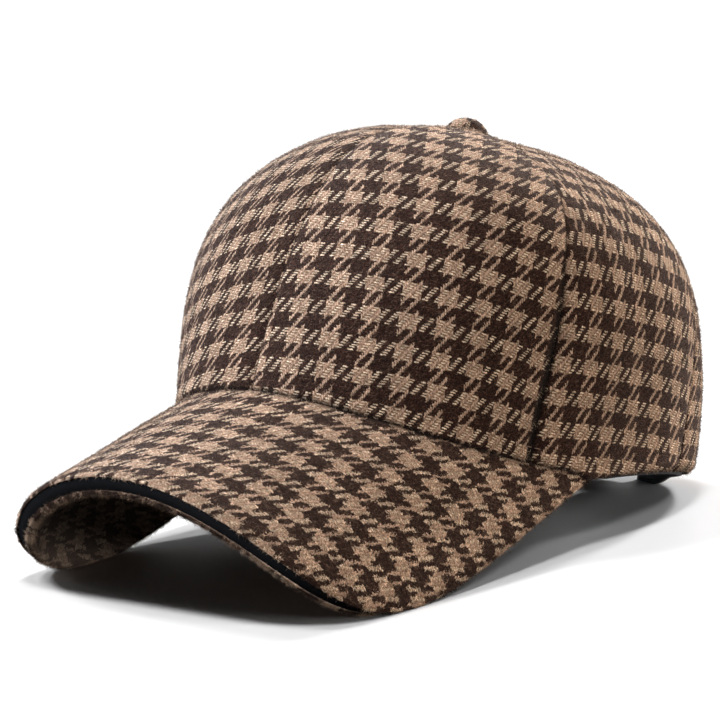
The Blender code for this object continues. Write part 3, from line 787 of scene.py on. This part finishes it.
def button():
    """The covered button: its foot on the crown, its wall, and a dome with eleven soft gathers."""
    n, top_y = 96, back(HEIGHT)
    ring = np.linspace(0, 2 * np.pi, n, endpoint=False)

    def skin(r):
        """The crown's height at distance r from its top."""
        th = np.abs((ring + np.pi) % (2 * np.pi) - np.pi)
        m, k = mixed(th, ACROSS), mixed(th, UPWARD)
        c = (r / oval(th)) ** (m / 2)
        return HEIGHT * np.clip(1 - c * c, 0, 1) ** (1 / k) + 0.05

    loops = [(r, skin(r) + 0.3) for r in (2.9, 5.2, 6.6, 7.4)] + [(BUTTON_RADIUS, skin(BUTTON_RADIUS) + 1.25)]
    for r in (BUTTON_RADIUS + 0.3) * np.cos(np.linspace(0.12, np.pi / 2 - 0.09, 18)):
        share = min(r, BUTTON_RADIUS - 0.01) / (BUTTON_RADIUS + 0.25)
        dome = 0.93 * BUTTON_HEIGHT * (1 - share ** 2.5) ** 0.75
        gather = 0.14 * np.sin(ring * 11 + 0.6 * np.sin(3 * ring)) * smooth((r - 4.0) / 3.0)
        loops.append((r, HEIGHT + 0.9 + dome + gather))
    rows = [np.stack([r * np.sin(ring), -r * np.cos(ring) + top_y, z], -1) for r, z in loops]
    k = len(rows)
    flat = np.concatenate(rows + [rows[0].mean(0)[None], rows[-1].mean(0)[None] + [0, 0, 0.05]])
    # the wall and the dome, then a fan of triangles over each end
    grid = ring_grid(k, n)
    q = quads((grid[:-1], grid[1:]))
    foot, top = np.full(n, k * n), np.full(n, k * n + 1)
    fans = [(foot, grid[0, :-1], grid[0, 1:]), (top, grid[-1, 1:], grid[-1, :-1])]
    faces = np.concatenate([q[:, [0, 1, 2]], q[:, [0, 2, 3]]] + [np.stack(fan, 1) for fan in fans])
    rs, zs = np.array([r for r, _ in loops]), np.array([np.mean(z) for _, z in loops])
    arc = np.concatenate([np.cumsum(np.hypot(np.diff(rs), np.diff(zs))[::-1])[::-1], [0.0]]) + rs[-1]
    arc = arc[:, None]
    wrap = np.stack([0.90 + arc * np.sin(ring) / 12.5, 0.40 + arc * np.cos(ring) / 10.6], -1)
    uv = np.concatenate([wrap.reshape(-1, 2), wrap[0].mean(0)[None], wrap[-1].mean(0)[None]])
    points = settled(flat)
    SKINS.append((points[:k * n].reshape(k, n, 3)[4:], "top_button", wrap[4:]))
    obj = make("top_button_cloth", points, outward(points, faces), CROWN_CLOTH, uv)
    dress(obj, "houndstooth_cloth", "top_button")


button()

# ---- peak

COLUMNS = 240


def outline():
    """The peak's outer edge in the flat pattern, evenly spaced, with its inward directions."""
    cx, cy, _ = joint(np.array([CORNER_RAD]))
    al = np.linspace(0, np.pi, 2001)
    c, s = np.cos(al), np.clip(np.sin(al), 0, None)
    power = 2 / PEAK_SQUARE
    x = cx[0] * np.sign(c) * np.abs(c) ** power + PEAK_FLARE * np.sin(2 * al)
    y = cy[0] + (PEAK_LENGTH - cy[0]) * s ** power
    d = run(np.stack([x, y], -1))
    t = np.linspace(0, d[-1], COLUMNS + 1)
    lo, hi = np.clip(t - 0.5, 0, d[-1]), np.clip(t + 0.5, 0, d[-1])
    tx, ty = np.interp(hi, d, x) - np.interp(lo, d, x), np.interp(hi, d, y) - np.interp(lo, d, y)
    long = np.hypot(tx, ty)
    return np.stack([np.interp(t, d, x), np.interp(t, d, y)], -1), np.stack([-ty / long, tx / long], -1)


EDGE, INWARD = outline()
JOINT = np.stack(joint(np.linspace(CORNER_RAD, -CORNER_RAD, COLUMNS + 1))[:2], -1)
WIDE = length(EDGE - JOINT)
FULL = smooth((WIDE - 2.0) / 12.0)
THICK_UPPER = 1.5 + (SKIN - 1.5) * FULL
THICK_UNDER = 1.0 + (SKIN - 1.0) * FULL
RIM = TAPE_DEPTH + 0.75
# the two cloths are soft and full at the rim: they stand out past the tape, and the under one rolls down
PUFF, ROLL, TAPE_SHOWS = 0.35, 3.2, 5.0
RIMS = (RIM, 2.1, 1.6, 1.15, 0.75, 0.45, 0.2, 0.06, 0.0)
# the nap on the rim leaves out this many columns at each corner
RIM_ENDS = 30


def peak_skin(height, first=0, last=COLUMNS + 1, rows=80):
    """One skin of the peak. height(d) gives each column's height at distance d from the edge, RIM at most."""
    deepest = np.minimum(RIM, 0.5 * WIDE)
    start = EDGE + INWARD * deepest[:, None]
    xy, hs = [], []
    for t in np.linspace(0, 1, rows + 1)[:-1] ** 0.9:
        xy.append(JOINT * (1 - t) + start * t)
        hs.append(height(RIM))
    for d in RIMS:
        xy.append(EDGE + INWARD * (deepest * d / RIM - PUFF * FULL * (1 - d / RIM))[:, None])
        hs.append(height(d))
    xy, hs = np.stack(xy, 1), np.stack([h + 0 * WIDE for h in hs], 1)
    return xy[first:last], hs[first:last]


def peak_points(xy, h):
    return peak_point(xy[..., 0], xy[..., 1], h)


def peak_weave(name, xy):
    """A peak cloth's weave map. The under cloth's runs the other way across."""
    return lie(name, xy[..., 0] * (-1 if name == "peak_under" else 1), -xy[..., 1])


def peak_cloth(name, xy, high, low, material, inward, ends, fold=None):
    """One of the peak's two cloths from its upper and lower skins. Its face and rim are kept for the nap."""
    outer, inner = (low, high) if name == "peak_under" else (high, low)
    uv = peak_weave(name, xy)
    rim = slice(ends, -ends)
    SKINS.append((np.stack([high[rim, -1], low[rim, -1]], 1), "peak_rim", np.repeat(uv[rim, -1:], 2, 1)))
    SKINS.append((outer, name, uv))
    uvs = (uv, peak_weave(name, xy - inward * 1.6))
    dress(slab(name + "_cloth", outer, inner, material, uvs, fold), "houndstooth_cloth", name)


def rounded(d, radius):
    """How far a rounded edge has dropped at distance d from it."""
    return radius - math.sqrt(max(radius * radius - max(radius - d, 0.0) ** 2, 0.0))


def peak_top():
    """The upper cloth: it meets the crown along the joint, and its lip covers the tape's upper edge."""
    xy, h = peak_skin(lambda d: -0.75 * rounded(d, 1.0) * smooth((WIDE - 4) / 6) - 0.2 * (d == 0))
    p = peak_points(xy, h)
    inside = smooth((length(xy - EDGE[:, None]) - 1.0) / 14.0)
    h = h + inside * (0.22 * ripple(p, 11, 34.0) + 0.05 * ripple(p, 12, 8.0))
    h = h + 0.13 * ripple(p, 13, 3.6) * (1 - inside)
    lip = -(THICK_UPPER + (LIP - THICK_UPPER) * smooth((WIDE - 7.0) / 3.0))
    _, low_h = peak_skin(lambda d: lip + 0.25 * rounded(d, 0.5) if d < RIM else -THICK_UPPER)
    low_h = low_h + 0.13 * ripple(p, 14, 3.0) * (1 - inside)
    top, low = settled(peak_points(xy, h)), settled(peak_points(xy, low_h))
    # painted shadow of the crown's hem on the peak along the joint
    fold = 0.6 * groove(length(xy - JOINT[:, None]), 0, 1.3)
    peak_cloth("peak_upper", xy, top, low, PEAK_CLOTH, INWARD[:, None], RIM_ENDS, fold)


peak_top()


def peak_bottom():
    """The under cloth, with a soft roll along its rim."""
    first = int(np.argmax(WIDE > 6.0))
    last = COLUMNS + 1 - first
    under = -(THICK_UPPER + GAP)
    low = under - THICK_UNDER
    lip = under + (0.15 - THICK_UNDER) * smooth((WIDE - 7.0) / 3.0) - 0.75 * smooth((WIDE - 9.0) / 7.0)
    xy, top_h = peak_skin(lambda d: lip - 0.25 * rounded(d, 0.5) if d < RIM else under, first, last, 60)
    _, low_h = peak_skin(lambda d: low + 0.75 * rounded(d, 1.0) + 0.2 * (d == 0), first, last, 60)
    p = peak_points(xy, low_h)
    off = length(xy - EDGE[first:last, None])
    low_h = low_h - 0.15 * ripple(p, 21, 30.0) * smooth(off / 12.0)
    near = smooth((WIDE[first:last, None] - 8.0) / 8.0) * groove(off, 1.4, 3.0)
    low_h = low_h - near * (ROLL + 0.25 * ripple(p, 22, 4.0))
    top_h = top_h + 0.13 * near * ripple(p, 23, 3.0)
    top, bottom = settled(peak_points(xy, top_h)), settled(peak_points(xy, low_h))
    # the roll lies on the surface and doesn't reach through it
    top[..., 2] = np.maximum(top[..., 2], 0.0004)
    bottom[..., 2] = np.maximum(bottom[..., 2], 0.00002)
    peak_cloth("peak_under", xy, top, bottom, UNDER_CLOTH, INWARD[first:last, None], RIM_ENDS - first)


peak_bottom()


def tape():
    """The black tape between the two cloths, bare of any lettering."""
    first = int(np.argmax(WIDE > 10.5))
    last = COLUMNS + 1 - first
    high, low = [], []
    for d in (TAPE_DEPTH, 1.2, 0.7, 0.3, 0.1, 0.0):
        xy = EDGE + INWARD * d
        lift = 0.036 * ripple(np.concatenate([xy, 0 * xy[:, :1]], 1), 31, 9.0)
        edge = 0.35 * rounded(d, 0.35)
        high.append(peak_points(xy, lift - edge - LIP - 0.05))
        low.append(peak_points(xy, lift + edge - LIP - TAPE_SHOWS))
    high, low = (settled(np.stack(rows, 1)[first:last]) for rows in (high, low))
    low[..., 2] = np.maximum(low[..., 2], 0.0003)
    dress(slab("edge_tape", high, low, TAPE), "black_tape", "peak_edge_tape")


tape()

# ---- sweatband


def band_grid(inset, th, rows):
    """One side of the band. Its foot shows a little under the hem and stands on the surface at the rear."""
    s = rows[None] * BAND_TALL / length_up(th)[:, None]
    t = th[:, None] + 0 * s
    p = crown_point(t, s) - crown_normal(t, s) * inset
    a = np.abs(th)
    free = hem(th) - 0.12 - BAND_SHOWS * smooth((a - CORNER_RAD - math.radians(1)) / math.radians(8))
    down = smooth((np.degrees(a) - BAND_DOWN[0]) / (BAND_DOWN[1] - BAND_DOWN[0]))
    p[:, 0, 2] = free * (1 - down) + upright_height(a, -1.2) * down
    return p


def sweatband():
    end = ARCH_EDGE - math.radians(0.6)
    th = np.linspace(-end, end, 301)
    rows = np.concatenate([[0.0, 0.0], np.linspace(0.06, 1.0, 14)])
    outer, inner = (band_grid(WALL + BAND_GAP + thick, th, rows) for thick in (0.0, BAND_THICK))
    s = rows[None] * BAND_TALL / length_up(th)[:, None]
    bulge = 0.35 * np.sin(rows * np.pi) * (1 + 0.4 * ripple(inner, 41, 30.0))
    inner = inner - crown_normal(th[:, None] + 0 * s, s) * bulge[..., None]
    outer, inner = settled(outer), settled(inner)
    for skin in (outer, inner):
        skin[:, 0, 2] = np.maximum(skin[:, 0, 2], 0.0)
    dress(slab("sweatband_cloth", outer, inner, BAND), "black_band", "sweatband")


sweatband()

# ---- rear strap and slider

STRAP_INSET = WALL + BAND_GAP + BAND_THICK + GAP


def strap_point(deg, inset, up):
    """A point that far inside the crown and that far up from its hem, at so many degrees round."""
    th = np.radians(np.where(deg > 180, deg - 360, deg))
    s = (up + 0 * th) / length_up(th)
    return crown_point(th, s) - crown_normal(th, s) * (inset + 0 * th)[..., None]


def strap():
    """The webbing strap, with a rib every few millimetres and softened edges."""
    deg = np.linspace(STRAP_END, 360 - STRAP_END, 121)
    grid = []
    for inset, sign in ((STRAP_INSET, 1), (STRAP_INSET + STRAP_THICK, -1)):
        cols = []
        for up in STRAP_TALL * spread(16, 0.6):
            edge = 0.45 * abs(2 * up / STRAP_TALL - 1) ** 8
            rib = 0.12 * math.cos(up * 2 * math.pi / 4.5)
            cols.append(strap_point(deg, inset + sign * (edge + 0.12 + rib), STRAP_LIFT + up))
        grid.append(settled(np.stack(cols, 1)))
    dress(slab("back_strap_web", grid[0], grid[1], WEB), "black_webbing", "back_strap")


strap()


def rounded_loop(a, b, low, high, corner):
    """A rectangle round the strap, its corners rounded: how far inside the crown, and how far up."""
    right, left, top, foot = b - corner, a + corner, high - corner, low + corner
    out = []
    for x, y, start in ((right, top, 0), (left, top, 90), (left, foot, 180), (right, foot, 270)):
        for k in range(5):
            t = math.radians(start + 90 * k / 4)
            out.append((x + corner * math.cos(t), y + corner * math.sin(t)))
    return out


def slider():
    """A plain keeper round the strap with softened edges."""
    low, high = STRAP_LIFT - GAP, STRAP_LIFT + STRAP_TALL + GAP
    a, b = STRAP_INSET - GAP, STRAP_INSET + STRAP_THICK + GAP
    half = math.degrees(SLIDER_LONG / 2 / REAR)
    outer, inner = [], []
    # across the slider, and how much its edges are pulled in there
    for share in (-1, -0.97, -0.88, -0.5, 0, 0.5, 0.88, 0.97, 1):
        cut = {0.97: 0.2, 1: 0.5}.get(abs(share), 0.0)
        deg = np.array([180 + half * share])
        w = SLIDER_WALL - cut
        wall = rounded_loop(a - w, b + w, low - w, high + w, 1.0)
        outer.append(np.concatenate([strap_point(deg, i, u) for i, u in wall]))
        inner.append(np.concatenate([strap_point(deg, i, u) for i, u in rounded_loop(a, b, low, high, 0.4)]))
    outer, inner = settled(np.stack(outer)), settled(np.stack(inner))
    pts = np.concatenate([outer.reshape(-1, 3), inner.reshape(-1, 3)])
    out = ring_grid(*outer.shape[:2])
    inn = out + outer.size // 3
    faces = quads((out[:-1], out[1:]), (inn[1:], inn[:-1]), (inn[0], out[0]), (out[-1], inn[-1]))
    faces = outward(pts, faces)
    dress(make("strap_slider_body", pts, faces, PLASTIC), "black_plastic", "strap_slider")


slider()

# ---- stitches


def beads(name, centres, along, out):
    """A row of small rounded stitches: their middles, and their directions along and out of the cloth."""
    rings, sides = 5, 6
    long, wide = STITCH_LONG * MM, STITCH_WIDE * MM
    side = np.cross(along, out)
    pts = []
    for t in np.linspace(-1, 1, rings):
        thick = wide * math.sqrt(max(1 - (t * 0.97) ** 4, 0.02))
        for w in np.linspace(0, 2 * np.pi, sides, endpoint=False):
            up = math.cos(w) * thick * 0.32 - 0.35 * wide * t ** 2
            pts.append(centres + along * (t * long / 2) + out * up + side * (math.sin(w) * thick / 2))
    for t in (-1.04, 1.04):
        pts.append(centres + along * (t * long / 2) - out * 0.4 * wide)
    pts = np.stack(pts, 1).reshape(-1, 3)
    per, last = rings * sides + 2, (rings - 1) * sides
    one = []
    for w in range(sides):
        after = (w + 1) % sides
        for row in range(0, last, sides):
            a, b = row + w, row + after
            one += [(a, b, b + sides), (a, b + sides, a + sides)]
        one += [(per - 2, after, w), (per - 1, last + w, last + after)]
    one = outward(pts[:per], np.array(one))
    faces = (one[None] + (np.arange(len(centres)) * per)[:, None, None]).reshape(-1, 3)
    dress(make(name, pts, faces, THREAD), "houndstooth_cloth")


def hem_stitches():
    """One row round the hem, from one foot of the arch to the other."""
    end = ARCH_EDGE - math.radians(1.0)
    th = np.linspace(-end, end, 3000)
    s = STITCH_UP / length_up(th)
    p, n = crown_point(th, s), crown_normal(th, s)
    d = run(p)
    at = np.arange(1.5, d[-1] - 1.5, STITCH_STEP)
    at = at + np.random.default_rng(3).uniform(-0.12, 0.12, len(at))

    def pick(arr, q):
        return np.stack([np.interp(q, d, arr[:, i]) for i in range(3)], -1)

    c, out = pick(p, at), pick(n, at)
    along = pick(p, at + 0.5) - pick(p, at - 0.5)
    deg = np.degrees(np.abs(np.interp(at, d, th)))
    near = np.min(np.abs(deg[:, None] - np.array(SEAMS)), axis=1)
    # the stitches lie sunk in the cloth, which is fuller away from the seams
    c = c + out * (PILLOW * (1 - groove(near, 0, 14.0)) - 0.32)[:, None]
    c, ahead, above = settled(np.stack([c, c + along, c + out]))
    beads("hem_stitches", c, unit(ahead - c), unit(above - c))


hem_stitches()

# ---- nap: short loose fibres standing off the cloth

# a point inside the crown, which the cloth faces away from, and the least height a fibre grows at, in metres
INSIDE, NAP_CLEAR = (0.0, 0.02, 0.03), 0.0006


def roots(skin, uv, area, k, rng):
    """k random places on a skin, more where area is larger: points, outward directions and weave map."""
    pick = rng.choice(area.size, k, p=(area / area.sum()).ravel())
    i, j = np.unravel_index(pick, area.shape)
    u, v = rng.uniform(size=(2, k, 1))
    n = unit(np.cross(skin[i + 1, j] - skin[i, j], skin[i, j + 1] - skin[i, j]))
    p = between(skin, i, j, u, v)
    if np.einsum("ij,ij->i", n, p - np.array(INSIDE)).mean() < 0:
        n = -n
    return p, n, between(uv, i, j, u, v)


def nap(name, wanted, material, count, long, seed, wide, rim=1.0):
    """Closed three-sided spikes on the named skins, each in the colour of the cloth it grows from.

    long and wide are in millimetres, and rim is how many times denser they stand along a skin's last rows.
    """
    rng = np.random.default_rng(seed)
    skins = [(skin, uv) for skin, who, uv in SKINS if who in wanted]
    areas = []
    for skin, _ in skins:
        corner = skin[:-1, :-1]
        area = length(np.cross(skin[1:, :-1] - corner, skin[:-1, 1:] - corner))
        area[:, -len(RIMS):] *= rim
        areas.append(area)
    total = sum(area.sum() for area in areas)
    grown = [roots(*pair, area, int(count * area.sum() / total), rng) for pair, area in zip(skins, areas)]
    p, n, uv = (np.concatenate(parts) for parts in zip(*grown))
    if wanted == ("peak_under",):
        n = -n
    keep = p[:, 2] > NAP_CLEAR
    p, n, uv = p[keep], n[keep], uv[keep]
    k = len(p)
    lean = rng.normal(size=(k, 3))
    lean = unit(lean - n * np.einsum("ij,ij->i", lean, n)[:, None])
    tall = rng.uniform(0.15, 0.95, (k, 1))
    way = n * tall + lean * np.sqrt(1 - tall ** 2)
    size = long * MM * rng.uniform(0.35, 1.0, (k, 1)) ** 1.3
    side = unit(np.cross(way, n))
    other = np.cross(way, side)
    w = wide * MM / 2
    root = p - n * 0.1 * MM
    foot = root - side * w * 0.5
    bend = n * rng.normal(0, 0.12, (k, 1)) + lean * rng.normal(0, 0.1, (k, 1))
    tip = root + (way + bend) * size
    tip[:, 2] = np.maximum(tip[:, 2], 0.1 * MM)
    pts = np.stack([root + side * w, foot + other * w * 0.87, foot - other * w * 0.87, tip], 1).reshape(-1, 3)
    one = outward(pts[:4], np.array([(0, 2, 1), (0, 1, 3), (1, 2, 3), (2, 0, 3)]))
    faces = (one[None] + (np.arange(k) * 4)[:, None, None]).reshape(-1, 3)
    dress(make(name, pts, faces, material, np.repeat(uv, 4, 0)), "houndstooth_cloth")


front = ("crown_front_left", "crown_front_right", "top_button")
nap("crown_nap_front", front, CROWN_CLOTH, 42000, 2.1, 51, 0.13)
nap("crown_nap_left", ("crown_side_left", "crown_back_left"), CROWN_CLOTH, 32000, 2.1, 53, 0.13)
nap("crown_nap_right", ("crown_side_right", "crown_back_right"), CROWN_CLOTH, 14000, 2.1, 56, 0.13)
nap("peak_nap", ("peak_upper",), PEAK_CLOTH, 34000, 2.0, 52, 0.17, rim=2.5)
nap("rim_nap", ("peak_rim",), PEAK_CLOTH, 11000, 2.1, 55, 0.19)
nap("peak_under_nap", ("peak_under",), UNDER_CLOTH, 14000, 2.1, 54, 0.19, rim=8.0)

# ---- stage, lights and camera

FLOOR_HALF, WORLD_STRENGTH = 60.0, 0.03


def stage():
    """The white floor. It throws no light of its own back at the cap: the lights below do that."""
    f = FLOOR_HALF
    mesh = bpy.data.meshes.new("floor")
    mesh.from_pydata([(-f, -f, 0), (f, -f, 0), (f, f, 0), (-f, f, 0)], [], [(0, 1, 2, 3)])
    mesh.materials.append(plain("floor_white", (0.92, 0.92, 0.925), 0.55, 0.3))
    floor = add("floor", mesh)
    floor.visible_diffuse = False


stage()

world = bpy.data.worlds.new("studio")
bpy.context.scene.world = world
world.use_nodes = True
world.node_tree.nodes["Background"].inputs[0].default_value = (1.0, 1.0, 1.0, 1)
world.node_tree.nodes["Background"].inputs[1].default_value = WORLD_STRENGTH


def receivers(name, wanted):
    """The meshes whose names are wanted, as a group that a light can be limited to."""
    group = bpy.data.collections.new(name)
    for piece in bpy.data.objects:
        if piece.type == "MESH" and wanted(piece.name):
            group.objects.link(piece)
    return group


ON_FLOOR = receivers("lit_floor", lambda name: name == "floor")
ON_UNDER = receivers("lit_under", lambda name: name.startswith("peak_under"))
ON_CAP = receivers("lit_cap", lambda name: name != "floor" and not name.startswith("peak_under"))
CAP = receivers("shades", lambda name: name != "floor")


def facing(azimuth, elevation):
    """Directions to the right, up and back of what looks at the cap from that side, in degrees."""
    a, e = math.radians(azimuth), math.radians(elevation)
    away = np.array([math.sin(a) * math.cos(e), -math.cos(a) * math.cos(e), math.sin(e)])
    right = unit(np.cross([0, 0, 1], away))
    return right, np.cross(away, right), away


def sun(name, azimuth, elevation, strength, angle, on, colour=(1, 1, 1)):
    """A soft light from that side, for one group of receivers."""
    light = bpy.data.lights.new(name, "SUN")
    light.energy, light.angle, light.color = strength, math.radians(angle), colour
    obj = add(name, light, facing(azimuth, elevation))
    obj.light_linking.receiver_collection = on
    if elevation < 0:
        # what the floor throws back isn't stopped by the floor
        obj.light_linking.blocker_collection = CAP


sun("window", -60, 34, 5.9, 50, ON_CAP, (0.99, 1.0, 1.05))
sun("left", -105, 34, 2.9, 40, ON_CAP, (0.97, 1.0, 1.05))
sun("left_low", -120, 12, 1.5, 40, ON_CAP, (0.66, 1.0, 1.30))
sun("back_left", -150, 38, 2.3, 40, ON_CAP, (0.95, 1.0, 1.0))
sun("front_left", -30, 28, 1.6, 40, ON_CAP, (0.97, 1.0, 1.04))
sun("fill", 60, 42, 0.32, 45, ON_CAP, (1.10, 1.0, 0.95))
sun("low", -5, 14, 0.72, 40, ON_CAP, (0.94, 1.0, 1.07))
sun("rim", 178, 17, 7.2, 35, ON_CAP, (1.05, 1.0, 0.94))
sun("side", 98, 15, 2.3, 35, ON_CAP, (1.13, 1.0, 0.87))
sun("curl", 58, 36, 8.5, 40, ON_UNDER)
sun("bounce", -8, -12, 2.2, 40, ON_UNDER, (1.1, 1.0, 0.85))
sun("key", 45, 65, 1.50, 10, ON_FLOOR)
sun("front", -45, 65, 1.30, 12, ON_FLOOR)
sun("sky", 90, 44, 0.62, 11, ON_FLOOR)
sun("low_right", 90, 14, 0.56, 14, ON_FLOOR)
sun("back", 180, 40, 1.86, 9, ON_FLOOR)
sun("low_back", -150, 15, 0.26, 16, ON_FLOOR)
sun("high_left", -90, 38, 1.62, 11, ON_FLOOR)
sun("low_left", -90, 12, 0.36, 16, ON_FLOOR)

# the photo's camera: degrees, millimetres and pixels
VIEW_AZ, VIEW_EL, VIEW_DIST, VIEW_ROLL = 44.218, 9.482, 1143.9, -4.383
VIEW_F, FRAME_PX = 3172.3, 720
VIEW_TARGET, VIEW_SHIFT = (-12.812, 13.369, 55.473), (-12.56, 17.95)


def camera():
    roll = math.radians(VIEW_ROLL)
    right, up, away = facing(VIEW_AZ, VIEW_EL)
    axes = right * math.cos(roll) + up * math.sin(roll), up * math.cos(roll) - right * math.sin(roll), away
    cam = bpy.data.cameras.new("camera")
    cam.sensor_width = 36.0
    cam.lens = VIEW_F * cam.sensor_width / FRAME_PX
    cam.shift_x, cam.shift_y = VIEW_SHIFT[0] / FRAME_PX, VIEW_SHIFT[1] / FRAME_PX
    cam.clip_start, cam.clip_end = 0.05, 60.0
    bpy.context.scene.camera = add("camera", cam, axes, (np.array(VIEW_TARGET) + away * VIEW_DIST) * MM)


camera()
bpy.context.scene.view_settings.view_transform = "Standard"
